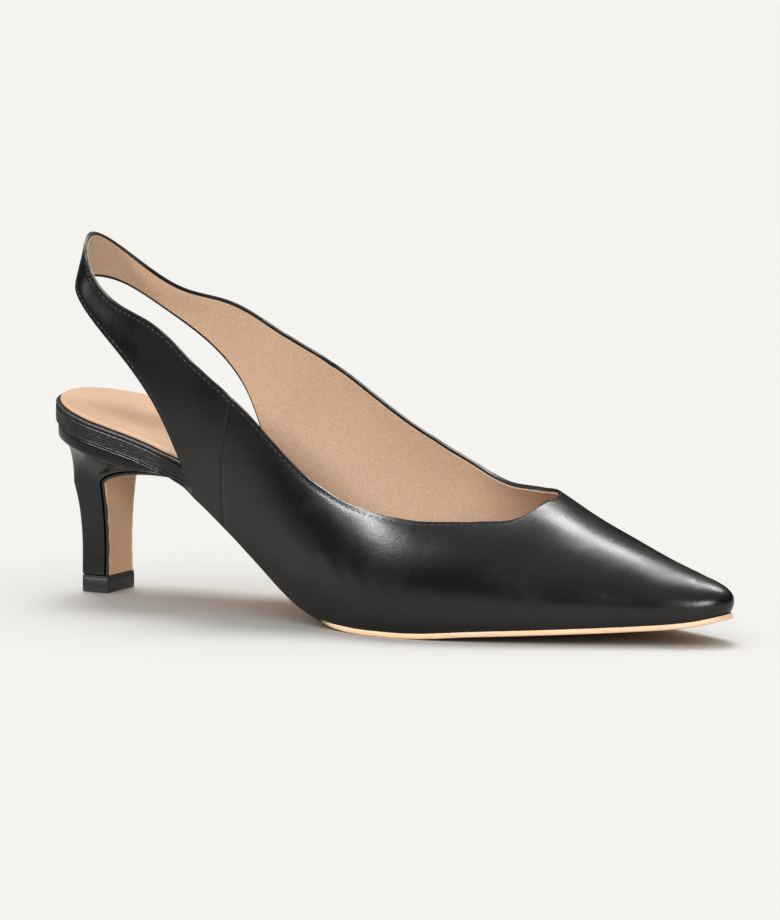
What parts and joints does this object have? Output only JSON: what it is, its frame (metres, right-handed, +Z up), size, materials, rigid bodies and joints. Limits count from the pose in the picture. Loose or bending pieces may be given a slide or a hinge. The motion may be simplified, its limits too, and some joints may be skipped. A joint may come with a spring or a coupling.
{
  "type": "slingback pump",
  "caption": "Pointed slingback pump for the right foot, smooth black leather, slim square heel, thin leather sole and an open back crossed by a heel strap.",
  "frame": {"origin": "middle of the heel tip's face, on the floor", "axes": "+X towards the toe, +Z up from the floor, the outer side of the foot along -Y"},
  "size_m": [0.2421, 0.08, 0.1171],
  "materials": {
    "upper_leather": "smooth, soft satin gloss",
    "insole_cover": "smooth covered rim, satin",
    "sock_leather": "matt lining leather",
    "sole_leather": "waxed sole leather, satin",
    "heel_cover": "smooth covered, satin gloss",
    "top_piece_rubber": "matt"
  },
  "bodies": {
    "root": {"upper": "upper_leather", "insole": "insole_cover", "sock_lining": "sock_leather", "outsole": "sole_leather", "heel": "heel_cover", "top_piece": "top_piece_rubber"}
  },
  "joints": []
}
